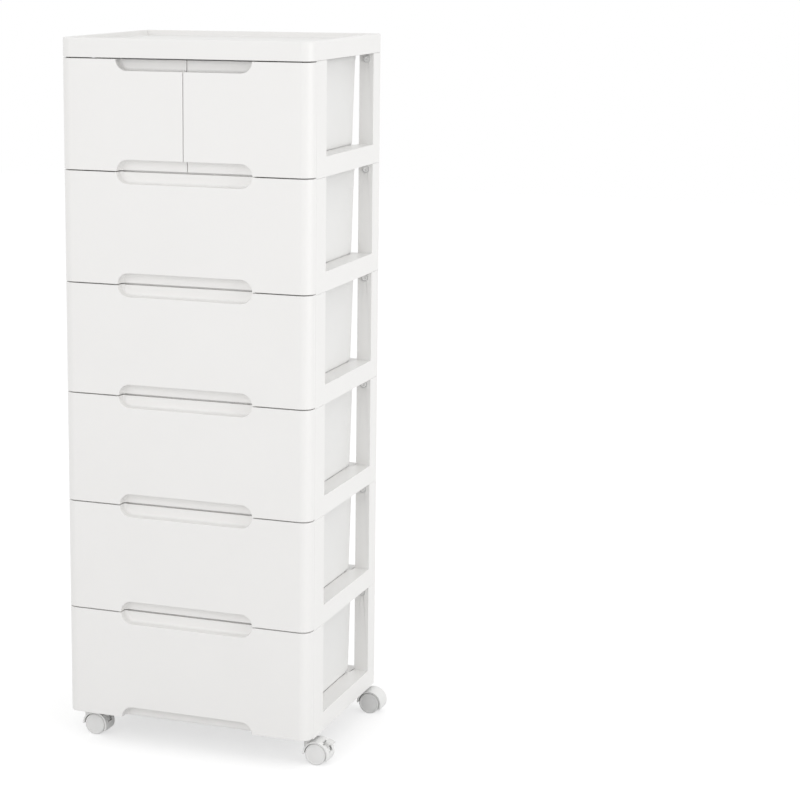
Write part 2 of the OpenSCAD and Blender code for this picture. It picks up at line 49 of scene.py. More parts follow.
# ---------------------------------------------------------------- caster stems and axles
# Each caster hangs on an 8 mm steel stem pressed into the lowest frame, and its two wheels turn on
# a 6 mm steel axle. Both are drawn rod with a thin, faintly blue zinc plating. The CAD rods stay.

def zinc_plating(name):
    """Zinc-plated rod: fine noise stretched along the rod stands for the drawing marks, and a
    wider cloud moves the roughness, as patchy plating does."""
    material = bpy.data.materials.new(name)
    material.use_nodes = True
    nodes, links = material.node_tree.nodes, material.node_tree.links
    shader = nodes["Principled BSDF"]
    shader.inputs["Metallic"].default_value = 1.0
    place = nodes.new("ShaderNodeTexCoord")
    stretch = nodes.new("ShaderNodeMapping")
    stretch.inputs["Scale"].default_value = (1.0, 1.0, 0.08)
    marks = nodes.new("ShaderNodeTexNoise")
    marks.inputs["Scale"].default_value = 2600.0
    cloud = nodes.new("ShaderNodeTexNoise")
    cloud.inputs["Scale"].default_value = 160.0
    tint = nodes.new("ShaderNodeValToRGB")
    tint.color_ramp.elements[0].color = (0.50, 0.52, 0.55, 1)
    tint.color_ramp.elements[1].color = (0.62, 0.63, 0.64, 1)
    gloss = nodes.new("ShaderNodeMapRange")
    gloss.inputs["To Min"].default_value = 0.24
    gloss.inputs["To Max"].default_value = 0.42
    relief = nodes.new("ShaderNodeBump")
    relief.inputs["Strength"].default_value = 0.5
    relief.inputs["Distance"].default_value = 0.01 * mm
    links.new(place.outputs["Object"], stretch.inputs["Vector"])
    links.new(stretch.outputs["Vector"], marks.inputs["Vector"])
    links.new(place.outputs["Object"], cloud.inputs["Vector"])
    links.new(cloud.outputs["Fac"], tint.inputs["Fac"])
    links.new(cloud.outputs["Fac"], gloss.inputs["Value"])
    links.new(marks.outputs["Fac"], relief.inputs["Height"])
    links.new(tint.outputs["Color"], shader.inputs["Base Color"])
    links.new(gloss.outputs["Result"], shader.inputs["Roughness"])
    links.new(relief.outputs["Normal"], shader.inputs["Normal"])
    return material


casters = ("fl", "fr", "rl", "rr")
zinc = zinc_plating("zinc_plated_rod")
for corner in casters:
    for rod in ("stem", "axle"):
        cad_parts[f"caster_{rod}_{corner}"].material_slots[0].material = zinc


# ---------------------------------------------------------------- caster wheels
# Eight 40 mm wheels of pale grey nylon, one on each side of every fork plate. Each is moulded in
# one piece with a rounded tread, a shallow step inside its rim, and a faintly domed disc.

wheel_profile = np.array([
    (16.4, 0.0), (16.4, 2.9), (16.2, 3.05), (6.7, 3.05), (6.4, 3.3), (6.4, 6.4), (6.7, 6.8),
    (7.6, 7.1), (7.6, 14.2), (7.3, 14.6), (6.6, 15.0), (6.4, 15.4), (6.4, 17.9), (6.7, 18.8),
    (7.4, 19.6), (8.4, 19.95), (10.0, 20.0), (14.6, 20.0), (15.8, 19.9), (16.9, 19.4),
    (17.8, 18.6), (18.25, 17.6), (18.4, 16.9), (18.35, 16.5), (18.1, 16.3), (17.7, 16.2),
    (17.6, 16.0), (17.65, 15.5), (17.8, 13.0), (17.95, 9.0), (18.05, 4.5), (18.08, 0.0)]) * mm
bore_start = 6.4 * mm


def turned(profile, centre, along, steps):
    """Surface of revolution: each profile point (distance along the axis, radius) is carried round
    the axis through the centre, at even angles: x = r * cos(a), z = r * sin(a). along is +1 or -1
    on the Y axis. Returns points and faces; a point on the axis closes the surface."""
    angle = np.linspace(0, 2 * np.pi, steps, endpoint=False)
    distance, radius = profile[:, :1], profile[:, 1:]
    x = radius * np.cos(angle)
    z = radius * np.sin(angle)
    points = np.stack([x, distance * along + 0 * x, z], axis=-1) + np.asarray(centre)
    return points.reshape(-1, 3), grid_faces(len(profile), steps, True)


def grid_faces(rows, columns, closed):
    """Four-cornered faces of a grid of points stored row by row; closed joins the last column to
    the first."""
    r, c = np.meshgrid(np.arange(rows - 1), np.arange(columns if closed else columns - 1),
                       indexing="ij")
    d = (c + 1) % columns
    quads = np.stack([r * columns + c, r * columns + d, (r + 1) * columns + d,
                      (r + 1) * columns + c], axis=-1)
    return quads.reshape(-1, 4)


def welded(points, quads):
    """Joins the points that lie within a thousandth of a millimetre of each other. A face that
    loses one corner becomes a triangle, and one that loses more goes."""
    cells = np.round(points / 1e-6).astype(np.int64)
    first, place = np.unique(cells, axis=0, return_index=True, return_inverse=True)[1:]
    quads = place.reshape(-1)[quads]
    same = quads == np.roll(quads, -1, axis=1)
    whole = quads[same.sum(axis=1) == 0]
    whole = whole[(whole[:, 0] != whole[:, 2]) & (whole[:, 1] != whole[:, 3])]
    pinched = quads[same.sum(axis=1) == 1]
    order = (np.argmax(pinched == np.roll(pinched, -1, axis=1), axis=1)[:, None]
             + np.array([1, 2, 3])) % 4
    corners = np.take_along_axis(pinched, order, axis=1)
    corners = corners[corners[:, 0] != corners[:, 2]]
    return points[first], whole.tolist() + corners.tolist(), place.reshape(-1)


def build(name, points, quads, material, caps=(), sharp=50):
    """Makes one closed piece from points, four-cornered faces and caps, which are loops of point
    numbers that close an end. Normals are turned outwards, flat faces are kept flat next to their
    rounded edges, and the piece gets its material."""
    points, faces, place = welded(points, quads)
    faces += [list(dict.fromkeys(place[np.asarray(cap)].tolist())) for cap in caps]
    mesh = bpy.data.meshes.new(name)
    mesh.from_pydata(points, [], faces)
    shell = bmesh.new()
    shell.from_mesh(mesh)
    bmesh.ops.recalc_face_normals(shell, faces=shell.faces)
    shell.to_mesh(mesh)
    shell.free()
    mesh.shade_smooth()
    mesh.set_sharp_from_angle(angle=math.radians(sharp))
    mesh.materials.append(material)
    piece = bpy.data.objects.new(name, mesh)
    bpy.context.scene.collection.objects.link(piece)
    flats = piece.modifiers.new("flat faces stay flat", "WEIGHTED_NORMAL")
    flats.keep_sharp = True
    return piece


def moulded_plastic(name, dark, light, rough, grain, grain_size):
    """Opaque moulded plastic. A broad soft noise drifts between two close colours and moves the
    gloss, as melt that cools unevenly does, and a fine noise raises the grain that the mould's
    spark-worn surface leaves. grain is its height and grain_size its pitch, in millimetres."""
    material = bpy.data.materials.new(name)
    material.use_nodes = True
    nodes, links = material.node_tree.nodes, material.node_tree.links
    shader = nodes["Principled BSDF"]
    shader.inputs["IOR"].default_value = 1.49
    place = nodes.new("ShaderNodeTexCoord")
    flow = nodes.new("ShaderNodeTexNoise")
    flow.inputs["Scale"].default_value = 9.0
    flow.inputs["Detail"].default_value = 3.0
    colour = nodes.new("ShaderNodeValToRGB")
    colour.color_ramp.elements[0].position = 0.3
    colour.color_ramp.elements[0].color = (*dark, 1)
    colour.color_ramp.elements[1].position = 0.7
    colour.color_ramp.elements[1].color = (*light, 1)
    gloss = nodes.new("ShaderNodeMapRange")
    gloss.inputs["From Min"].default_value = 0.3
    gloss.inputs["From Max"].default_value = 0.7
    gloss.inputs["To Min"].default_value = rough - 0.04
    gloss.inputs["To Max"].default_value = rough + 0.04
    spark = nodes.new("ShaderNodeTexNoise")
    spark.inputs["Scale"].default_value = 1 / (grain_size * mm)
    spark.inputs["Detail"].default_value = 2.0
    relief = nodes.new("ShaderNodeBump")
    relief.inputs["Strength"].default_value = 0.6
    relief.inputs["Distance"].default_value = grain * mm
    links.new(place.outputs["Object"], flow.inputs["Vector"])
    links.new(place.outputs["Object"], spark.inputs["Vector"])
    links.new(flow.outputs["Fac"], colour.inputs["Fac"])
    links.new(flow.outputs["Fac"], gloss.inputs["Value"])
    links.new(spark.outputs["Fac"], relief.inputs["Height"])
    links.new(colour.outputs["Color"], shader.inputs["Base Color"])
    links.new(gloss.outputs["Result"], shader.inputs["Roughness"])
    links.new(relief.outputs["Normal"], shader.inputs["Normal"])
    return material


grey_nylon = moulded_plastic("pale_grey_nylon", (0.81, 0.808, 0.80), (0.84, 0.838, 0.83),
                             0.42, 0.02, 0.5)
for corner in casters:
    for side, along in (("outer", -1), ("inner", 1)):
        low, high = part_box(f"wheel_{side}_{corner}")
        fork_y = (low.y if along > 0 else high.y) - along * bore_start
        centre = ((low.x + high.x) / 2, fork_y, (low.z + high.z) / 2)
        points, quads = turned(wheel_profile, centre, along, 96)
        wheel = build(f"wheel_{side}_{corner}_moulding", points, quads, grey_nylon)
        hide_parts(f"wheel_{side}_{corner}")
        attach(wheel, f"wheel_{side}_{corner}")


# ---------------------------------------------------------------- caster hoods and brake levers
# White nylon hoods bridge the two wheels and carry the hub for the stem; the front two have a
# slot for a foot lever. They keep the CAD shape, with every moulded edge rounded off.

hood_round, lever_round = 0.4 * mm, 0.35 * mm


def softened(node, name, radius, material):
    """Copy of a CAD node whose edges of more than 35 degrees are rounded to the radius, as a mould
    leaves them. Its triangles are merged into flat faces first, and faces of more than four
    corners are cut into well-shaped triangles, so that ribs and walls keep their own."""
    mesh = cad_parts[node].data.copy()
    mesh.name = name
    shell = bmesh.new()
    shell.from_mesh(mesh)
    bmesh.ops.remove_doubles(shell, verts=shell.verts, dist=2e-6)
    bmesh.ops.dissolve_limit(shell, angle_limit=math.radians(0.4), use_dissolve_boundaries=False,
                             verts=shell.verts, edges=shell.edges, delimit={"NORMAL"})
    bmesh.ops.triangulate(shell, faces=[f for f in shell.faces if len(f.verts) > 4],
                          ngon_method="BEAUTY")
    shell.to_mesh(mesh)
    shell.free()
    mesh.materials.clear()
    mesh.materials.append(material)
    mesh.shade_smooth()
    piece = bpy.data.objects.new(name, mesh)
    bpy.context.scene.collection.objects.link(piece)
    edge = piece.modifiers.new("moulded edges", "BEVEL")
    edge.width = radius
    edge.segments = 2
    edge.limit_method = "ANGLE"
    edge.angle_limit = math.radians(35)
    edge.use_clamp_overlap = False
    flats = piece.modifiers.new("flat faces stay flat", "WEIGHTED_NORMAL")
    flats.keep_sharp = True
    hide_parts(node)
    return piece


white_nylon = moulded_plastic("white_nylon", (0.80, 0.80, 0.79), (0.83, 0.83, 0.82),
                              0.38, 0.015, 0.5)
lever_nylon = moulded_plastic("lever_nylon", (0.74, 0.74, 0.73), (0.77, 0.77, 0.76),
                              0.40, 0.015, 0.5)
for corner in casters:
    hood = softened(f"caster_hood_{corner}", f"hood_{corner}_moulding", hood_round, white_nylon)
    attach(hood, f"swivel_{corner}")
for corner in ("fl", "fr"):
    lever = softened(f"brake_lever_{corner}", f"foot_lever_{corner}_moulding", lever_round,
                     lever_nylon)
    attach(lever, f"brake_{corner}")


# ---------------------------------------------------------------- stacking frames
# Six frames of white polypropylene, each moulded in one piece: ring with side ledges and tracks,
# cross rails and four tube posts. The tongues of each plug into the posts of the one below.

frame_round = 0.5 * mm
frame_plastic = moulded_plastic("frame_polypropylene", (0.856, 0.849, 0.836),
                                (0.870, 0.863, 0.850), 0.36, 0.015, 0.6)
for tier in range(1, 7):
    moulding = softened(f"tier_frame_{tier}", f"frame_{tier}_moulding", frame_round,
                        frame_plastic)
    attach(moulding, "root")


# ---------------------------------------------------------------- lock pins
# Twelve nylon pins, two in every tier. Each is pushed from the front through the wall of a rear
# post into the tongue behind it. Its head is a mushroom-shaped button with a sunken middle,
# inside a thin collar.

pin_profile = np.array([
    (-1.2, 0.0), (-1.2, 1.6), (-1.1, 1.9), (-1.5, 2.2), (-2.0, 2.5), (-2.15, 3.0), (-2.2, 3.8),
    (-2.15, 4.9), (-2.0, 5.4), (-1.75, 5.6), (-1.5, 5.5), (-1.35, 4.4), (-0.3, 4.3), (-0.3, 7.0),
    (-1.7, 7.0), (-2.05, 6.85), (-2.15, 7.0), (-2.15, 7.35), (-1.95, 7.55), (-0.2, 7.55),
    (0.0, 7.3), (0.0, 4.0), (6.3, 4.0), (6.65, 3.85), (6.8, 3.5), (6.8, 0.0)]) * mm
pin_head, pin_inset, pin_drop = 2.2 * mm, 13.1 * mm, 10.2 * mm
tier_pitch, foot = 200 * mm, 50 * mm
tower_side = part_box("tier_frame_1")[1].x
post_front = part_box("post_lock_pins")[0].y + pin_head

one_pin, one_faces = turned(pin_profile, (0, 0, 0), 1, 48)
sides, levels = np.meshgrid([-1, 1], np.arange(1, 7), indexing="ij")
places = np.stack([sides.ravel() * (tower_side - pin_inset), 0 * sides.ravel() + post_front,
                   foot + levels.ravel() * tier_pitch - pin_drop], axis=-1)
pin_points = (places[:, None, :] + one_pin[None]).reshape(-1, 3)
pin_faces = (np.arange(len(places))[:, None, None] * len(one_pin) + one_faces[None]).reshape(-1, 4)
pin_nylon = moulded_plastic("pin_nylon", (0.82, 0.818, 0.81), (0.84, 0.838, 0.83), 0.4, 0.012, 0.4)
pins = build("lock_pins_moulding", pin_points, pin_faces, pin_nylon)
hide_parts("post_lock_pins")
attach(pins, "root")


# ---------------------------------------------------------------- drawer tubs
# Seven thin-walled tubs of white polypropylene. The side and rear walls lean in towards the floor,
# the floor's edge is round, and a low band below the rounded rim stands out at the sides and the
# rear. The front wall has four slots for clips.

tub_wall, side_lean, rear_lean = 2.2 * mm, 3.5 * mm, 4.5 * mm
tub_corner, tub_edge, least_corner = 12 * mm, 10 * mm, 1.5 * mm
band_out, band_tall, rim_rise = 0.5 * mm, 8 * mm, 2.5 * mm
clip_low, clip_high, slot_half = 1.6 * mm, 3.0 * mm, 8.4 * mm
clip_rise, clip_drop, clip_share = 32 * mm, 34 * mm, np.array([0.2, 0.8])
edge_rows = corner_steps = 8


def loops(x0, x1, y0, y1, front, rear, z, steps=corner_steps, stops=()):
    """Stack of rectangles with quarter-circle corners, one for each height z, each
    counter-clockwise from its left side: a corner point is its centre + radius * (cos(a), sin(a)).
    Every value may differ from level to level; stops are extra places along the front edge.
    Returns an array of level, point, coordinate."""
    x0, x1, y0, y1, front, rear, z = (a[:, None] for a in np.broadcast_arrays(
        *(np.atleast_1d(np.asarray(v, float)) for v in (x0, x1, y0, y1, front, rear, z))))
    c, s = (f(np.linspace(0, np.pi / 2, steps + 1))[None] for f in (np.cos, np.sin))
    stops = np.asarray(stops, float)[None]
    x = np.concatenate([x0 + front - front * c, stops + 0 * z, x1 - front + front * s,
                        x1 - rear + rear * c, x0 + rear - rear * s], axis=1)
    y = np.concatenate([y0 + front - front * s, y0 + 0 * stops, y0 + front - front * c,
                        y1 - rear + rear * s, y1 - rear + rear * c], axis=1)
    return np.stack([x, y, z + 0 * x], axis=-1)


def tub_levels(x0, x1, y0, y1, z0, z1, slot_z):
    """Height, inset and corner radius down the outside and up the inside of the wall: a quarter
    circle from the floor to the wall, the wall, half a circle over the rim, and the same again
    one wall thickness in. A low band below the rim stands out at the sides and the rear."""
    quarter = np.linspace(0, np.pi / 2, edge_rows)
    rim = np.linspace(0, np.pi, 9)[1:-1]
    half = tub_wall / 2
    inner = tub_edge - tub_wall
    wall_z = np.concatenate([slot_z, [z1 - half]])
    step_z = np.concatenate([slot_z, [z1 - band_tall, z1 - band_tall + band_out, z1 - half]])
    z = np.concatenate([
        z0 + tub_edge * (1 - np.cos(quarter)), step_z, z1 - half + half * np.sin(rim),
        wall_z[::-1], z0 + tub_wall + inner * (1 - np.cos(quarter[::-1]))])
    inset = np.concatenate([
        tub_edge * (1 - np.sin(quarter)), 0 * step_z, half * (1 - np.cos(rim)),
        tub_wall + 0 * wall_z, tub_wall + inner * (1 - np.sin(quarter[::-1]))])
    band = np.where((z > z1 - band_tall) & (inset < tub_wall),
                    band_out * (1 - inset / tub_wall), 0)
    lean = (z1 - z) / (z1 - z0)
    radius = np.maximum(tub_corner - inset, least_corner)
    return (x0 + inset + side_lean * lean - band, x1 - inset - side_lean * lean + band, y0 + inset,
            y1 - inset - rear_lean * lean + band, radius, radius, z)


def tub_shape(node, z_clips, x_clips):
    """Points, faces and end caps of one tub. The faces of the front wall inside each slot are left
    out on both sides, and four faces join the two openings."""
    low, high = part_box(node)
    slot_z = np.sort(np.concatenate([z_clips - clip_low, z_clips + clip_high]))
    stops = np.sort(np.concatenate([x_clips - slot_half, x_clips + slot_half]))
    points = loops(*tub_levels(low.x, high.x, low.y, high.y, low.z, high.z + rim_rise, slot_z),
                   stops=stops)
    rows, columns = points.shape[:2]
    quads = grid_faces(rows, columns, True)
    first = np.arange(2) * 2
    out_rows = edge_rows + first
    in_rows = rows - edge_rows - 2 - first
    slot_columns = corner_steps + 1 + first
    r, c = (a.ravel() for a in np.meshgrid(out_rows, slot_columns, indexing="ij"))
    q = np.repeat(in_rows, 2)
    gone = np.isin(np.arange(len(quads)), np.concatenate([r * columns + c, q * columns + c]))
    outside = np.stack([r * columns + c, r * columns + c + 1,
                        (r + 1) * columns + c + 1, (r + 1) * columns + c], axis=-1)
    inside = np.stack([(q + 1) * columns + c, (q + 1) * columns + c + 1,
                       q * columns + c + 1, q * columns + c], axis=-1)
    walls = np.stack([outside, np.roll(outside, -1, 1), np.roll(inside, -1, 1), inside], axis=-1)
    faces = np.concatenate([quads[~gone], walls.reshape(-1, 4)])
    caps = [np.arange(columns), (rows - 1) * columns + np.arange(columns)]
    return points.reshape(-1, 3), faces, caps


drawers = ("1", "2", "3", "4", "5", "left", "right")


def clip_places(node):
    """Where the four clips of a drawer stand: two places across the tub and two heights, the lower
    above the round edge of its floor and the upper below its rim."""
    low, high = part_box(node)
    return (low.x + (high.x - low.x) * clip_share,
            np.array([low.z + clip_rise, high.z - clip_drop]))


# The tubs' colour is set a little darker than the frames' same white polypropylene. This is
# painted shade, standing for the shade the tubs sit in behind the frames.
tub_plastic_painted_shade = moulded_plastic("tub_polypropylene_painted_shade", (0.81, 0.808, 0.798), (0.83, 0.828, 0.818),
                              0.46, 0.02, 0.7)
for drawer in drawers:
    node = f"drawer_tub_{drawer}"
    x_clips, z_clips = clip_places(node)
    points, quads, caps = tub_shape(node, z_clips, x_clips)
    tub = build(f"tub_{drawer}_moulding", points, quads, tub_plastic_painted_shade, caps)
    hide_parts(node)
    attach(tub, f"drawer_{drawer}")


# ---------------------------------------------------------------- drawer fronts
# Seven satin shells of white polypropylene, 2.5 mm thick and open behind. Half a finger grip, a
# slot with round ends, is sunk into the top and bottom edge of each. Two stiffeners stand behind
# the face, and barbed clips hold it on its tub.

shell_wall, shell_depth, shell_corner = 2.5 * mm, 26 * mm, 20 * mm
grip_end_x, grip_radius, grip_depth, grip_edge_drop = 106.7 * mm, 21 * mm, 18.5 * mm, 0.8 * mm
grip_reach, seam_gap, inner_lip = 24 * mm, 1 * mm, 0.4 * mm
lip_round, grip_foot_round, seam_round, plain_round = 1.3 * mm, 5 * mm, 0.6 * mm, 0.5 * mm
stiffener_left, stiffener_wide, stiffener_ends, sunk_in = 17 * mm, 2 * mm, 24 * mm, 0.5 * mm
clip_through = 2.6 * mm


def outline_columns(x0, x1, y0, left_round, right_round, inset):
    """Columns of the shell, seen from above and from left to right: round end, face, grip end,
    grip, grip end, face, round end. Returns a dict of arrays: the outline point px, py and its
    inward direction nx, ny, the place qx on the back edge, the extra inset at a plain end, and for
    the grip its side (-1, 0, 1), end centre gx and the share t of its quarter turn."""
    turn = np.linspace(0, np.pi / 2, 11)
    blend = np.linspace(0, 1, 11)
    edge = seam_round if inset == 0 else seam_round / 2

    def column(**values):
        size = max(np.size(v) for v in values.values())
        base = dict(px=0, py=y0, nx=0, ny=1, qx=0, extra=0, side=0, gx=0, t=1, grip=0)
        return {k: np.zeros(size) + values.get(k, v) for k, v in base.items()}

    def round_end(x, sign):
        back = np.array([shell_depth, shell_depth - 2 * mm, shell_depth - 4 * mm])
        px = np.concatenate([x + 0 * back, x + sign * shell_corner * (1 - np.cos(turn))])
        py = np.concatenate([y0 + back, y0 + shell_corner * (1 - np.sin(turn))])
        nx = np.concatenate([sign + 0 * back, sign * np.cos(turn)])
        ny = np.concatenate([0 * back, np.sin(turn)])
        share = np.linspace(0, 1, len(px)) ** 1.3
        qx = x + sign * (inset + edge + (shell_corner - inset - edge) * share)
        return column(px=px, py=py, nx=nx, ny=ny, qx=qx)

    def plain_end(x, sign):
        arc = np.linspace(np.pi / 2, 0, 4)
        px = x + sign * (inset + plain_round * (1 - np.sin(arc)))
        return column(px=px, qx=px, gx=px, extra=plain_round * (1 - np.cos(arc)), grip=1)

    def flipped(part):
        return {k: v[::-1] for k, v in part.items()}

    def face(x_from, x_to, count):
        x = np.linspace(x_from, x_to, count + 2)[1:-1]
        return column(px=x, qx=x)

    def grip_end(side):
        return column(gx=side * grip_end_x, side=side, t=blend, grip=1)

    def grip_run(x_from, x_to, count):
        x = np.linspace(x_from, x_to, count + 2)[1:-1]
        return column(px=x, qx=x, gx=x, grip=1)

    parts = []
    if left_round:
        parts += [round_end(x0, 1), face(x0 + shell_corner, -grip_end_x - grip_reach, 4),
                  grip_end(-1)]
        start = -grip_end_x
    else:
        parts += [plain_end(x0, 1)]
        start = x0 + inset + plain_round
    end = grip_end_x if right_round else x1 - inset - plain_round
    parts += [grip_run(start, end, 8)]
    if right_round:
        parts += [flipped(grip_end(1)), face(grip_end_x + grip_reach, x1 - shell_corner, 4),
                  flipped(round_end(x1, -1))]
    else:
        parts += [flipped(plain_end(x1, -1))]
    return {k: np.concatenate([p[k] for p in parts])[None] for k in parts[0]}


def shell_skin(x0, x1, y0, z0, z1, left_round, right_round, inset):
    """One skin of a front, the inset being 0 outside and the wall thickness inside. Up each column
    the rows run over half of the face, round the lip, back along the grip's wall, round its foot,
    up its back wall and back along the top edge, which stands a little lower in the grip; the
    lower half is the same turned over. In the grip a point lies on a circle about its end:
    x = centre + side * r * cos(a), z = seam - r * sin(a), and r follows the lip and the foot."""
    col = outline_columns(x0, x1, y0, left_round, right_round, inset)
    depth_in = inset + col["extra"]
    top = z1 - depth_in
    seam_z = z1 + seam_gap
    middle = (z0 + z1) / 2
    lip = lip_round if inset == 0 else inner_lip
    edge = seam_round if inset == 0 else seam_round / 2
    wall_r = grip_radius + depth_in
    foot = grip_foot_round + depth_in
    back_y = y0 + grip_depth + depth_in
    in_grip = col["grip"] > 0
    low_top = top - grip_edge_drop * np.minimum(10 * col["t"], 1)
    sx, sy = col["px"] + col["nx"] * inset, col["py"] + col["ny"] * inset
    sy = np.minimum(sy + col["extra"] * in_grip, y0 + shell_depth)

    def grip_point(radius):
        least = np.arcsin(np.clip((seam_z - top) / radius, -1, 1))
        a = least + col["t"] * (np.pi / 2 - least)
        return col["gx"] + col["side"] * radius * np.cos(a), seam_z - radius * np.sin(a)

    def rows_of(radius, y, level=None):
        gx, gz = grip_point(radius)
        fx = sx + col["nx"] * edge
        fy = sy + col["ny"] * edge
        depth = (y - (y0 + depth_in + edge)) / (shell_depth - depth_in - edge)
        depth = np.clip(depth, 0, 1)
        ox = fx + (col["qx"] - fx) * depth
        oy = fy + (y0 + shell_depth - fy) * depth
        z = gz if level is None else gz + (low_top - gz) * level
        return (np.where(in_grip, gx, ox), np.where(in_grip, y + 0 * gx, oy),
                np.where(in_grip, z, top + 0 * z))

    angle = np.linspace(0, np.pi / 2, 6)[1:, None]
    face_x, face_top = grip_point(wall_r + lip)
    face_top = np.where(in_grip, face_top, top - edge)
    share = np.array([0, 0.4, 0.75, 0.93, 1.0])[:, None]
    face = (np.where(in_grip, face_x, sx) + 0 * share, sy + 0 * share,
            middle + (face_top - middle) * share)
    lip_x, lip_z = grip_point(wall_r + lip * (1 - np.sin(angle)))
    off = edge * (1 - np.cos(angle))
    lips = (np.where(in_grip, lip_x, sx + col["nx"] * off),
            np.where(in_grip, sy + lip * (1 - np.cos(angle)), sy + col["ny"] * off),
            np.where(in_grip, lip_z, top - edge * (1 - np.sin(angle))))
    along = np.array([0.5, 1.0])[:, None]
    wall_y = sy + lip
    wall_y = np.where(in_grip, wall_y, y0 + depth_in + lip)
    wall = rows_of(wall_r + 0 * along, wall_y + (back_y - foot - wall_y) * along)
    foot_rows = rows_of(wall_r - foot * (1 - np.cos(angle)), back_y - foot + foot * np.sin(angle))
    rise = rows_of(wall_r - foot + 0 * along, back_y + 0 * along, along)
    back = rows_of(wall_r - foot, y0 + shell_depth + 0 * back_y, 1.0)
    upper = np.concatenate([np.stack(np.broadcast_arrays(*rows), axis=-1)
                            for rows in (face, lips, wall, foot_rows, rise, back)])
    lower = upper[:0:-1] * [1, 1, -1] + [0, 0, 2 * middle]
    return np.concatenate([lower, upper])


def block(x0, x1, y0, y1, z0, z1, soft=0.4 * mm):
    """Closed block with rounded upright edges and chamfered ends: four loops, the first and last
    drawn in by the chamfer. Returns points, faces and caps."""
    draw = np.array([soft, 0, 0, soft])
    z = np.array([z0, z0 + soft, z1 - soft, z1])
    radius = soft + 0 * z
    points = loops(x0 + draw, x1 - draw, y0 + draw, y1 - draw, radius, radius, z, steps=2)
    columns = points.shape[1]
    return (points.reshape(-1, 3), grid_faces(4, columns, True),
            [np.arange(columns), 3 * columns + np.arange(columns)])


def clip(x, y0, y1, z):
    """Tongue with a wedge-shaped barb at its end: a profile in Y and Z carried along X, its two
    ends drawn in a little."""
    profile = np.array([(y0, -1.2 * mm), (y1 + 2.7 * mm, -1.2 * mm), (y1 + 3 * mm, -0.9 * mm),
                        (y1 + 3 * mm, 1.1 * mm), (y1 + 0.3 * mm, 2.6 * mm), (y1, 2.5 * mm),
                        (y1, 1.2 * mm), (y0, 1.2 * mm)])
    middle = profile.mean(axis=0)
    places = np.array([-8.0, -7.6, 7.6, 8.0]) * mm
    draw = np.array([0.4, 0, 0, 0.4]) * mm
    rays = profile - middle
    shrink = 1 - draw[:, None, None] / np.linalg.norm(rays, axis=1).max()
    yz = middle + rays[None] * shrink
    points = np.concatenate([x + places[:, None, None] + 0 * yz[..., :1], yz], axis=-1)
    points[..., 2] += z
    count = len(profile)
    return (points.reshape(-1, 3), grid_faces(4, count, True),
            [np.arange(count), 3 * count + np.arange(count)])


def joined(shapes):
    """Puts several shapes, each points, faces and caps, into one list of points."""
    starts = np.cumsum([0] + [len(s[0]) for s in shapes])
    points = np.concatenate([s[0] for s in shapes])
    quads = np.concatenate([s[1] + n for s, n in zip(shapes, starts)])
    caps = [np.asarray(cap) + n for s, n in zip(shapes, starts) for cap in s[2]]
    return points, quads, caps


def front_shell(x0, x1, y0, z0, z1, left_round, right_round):
    """Closed shell from an outer and an inner skin, joined along the back edge. A plain end is
    closed on each skin by one flat cap."""
    outer = shell_skin(x0, x1, y0, z0, z1, left_round, right_round, 0)
    inner = shell_skin(x0, x1, y0, z0, z1, left_round, right_round, shell_wall)
    rows, columns = outer.shape[:2]
    index = np.arange(rows * columns).reshape(rows, columns)
    side_up = index[:, -1] if right_round else index[[0, -1], -1]
    side_down = index[::-1, 0] if left_round else index[[-1, 0], 0]
    rim = np.concatenate([index[0], side_up[1:], index[-1, ::-1][1:], side_down[1:-1]])
    after = np.roll(rim, -1)
    total = rows * columns
    quads = np.concatenate([grid_faces(rows, columns, False),
                            grid_faces(rows, columns, False)[:, ::-1] + total,
                            np.stack([rim, after, after + total, rim + total], axis=-1)])
    caps = []
    for plain, column in ((not left_round, 0), (not right_round, -1)):
        if plain:
            caps += [index[:, column], index[:, column] + total]
    points = np.concatenate([outer.reshape(-1, 3), inner.reshape(-1, 3)])
    return points, quads, caps


front_plastic = moulded_plastic("front_polypropylene", (0.860, 0.852, 0.840),
                                (0.872, 0.864, 0.852), 0.38, 0.015, 0.5)
for drawer in drawers:
    node = f"drawer_front_{drawer}"
    low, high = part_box(node)
    left_round, right_round = drawer != "right", drawer != "left"
    shapes = [front_shell(low.x, high.x, low.y, low.z, high.z, left_round, right_round)]
    for x in low.x + (high.x - low.x) * clip_share - stiffener_left:
        shapes.append(block(x, x + stiffener_wide, low.y + shell_wall - sunk_in,
                            low.y + shell_depth, low.z + stiffener_ends,
                            high.z - stiffener_ends))
    x_clips, z_clips = clip_places(f"drawer_tub_{drawer}")
    tub_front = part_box(f"drawer_tub_{drawer}")[0].y
    for x in x_clips:
        for z in z_clips:
            shapes.append(clip(x, low.y + shell_wall - sunk_in, tub_front + clip_through, z))
    points, quads, caps = joined(shapes)
    front = build(f"front_{drawer}_moulding", points, quads, front_plastic, caps)
    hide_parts(node)
    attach(front, f"drawer_{drawer}")


# ---------------------------------------------------------------- tray top
# The cover is one white moulding: a sunken tray inside a raised, hollow rim with a soft outer
# edge, crossed ribs below, and four tongues that plug into the posts of the top frame.

cover_low, cover_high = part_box("top_tray")
cover_tall, rim_wide, cover_wall, tray_floor = 34 * mm, 9 * mm, 2.5 * mm, 24 * mm
cover_corner, rear_corner, rib_inside, rib_half = 20 * mm, 4 * mm, 5.5 * mm, 1 * mm
post_wide, post_gap, ledge, front_post, rear_post = (
    27.3 * mm, 2.8 * mm, 26.4 * mm, 50 * mm, 41 * mm)
base_z = cover_high.z - cover_tall


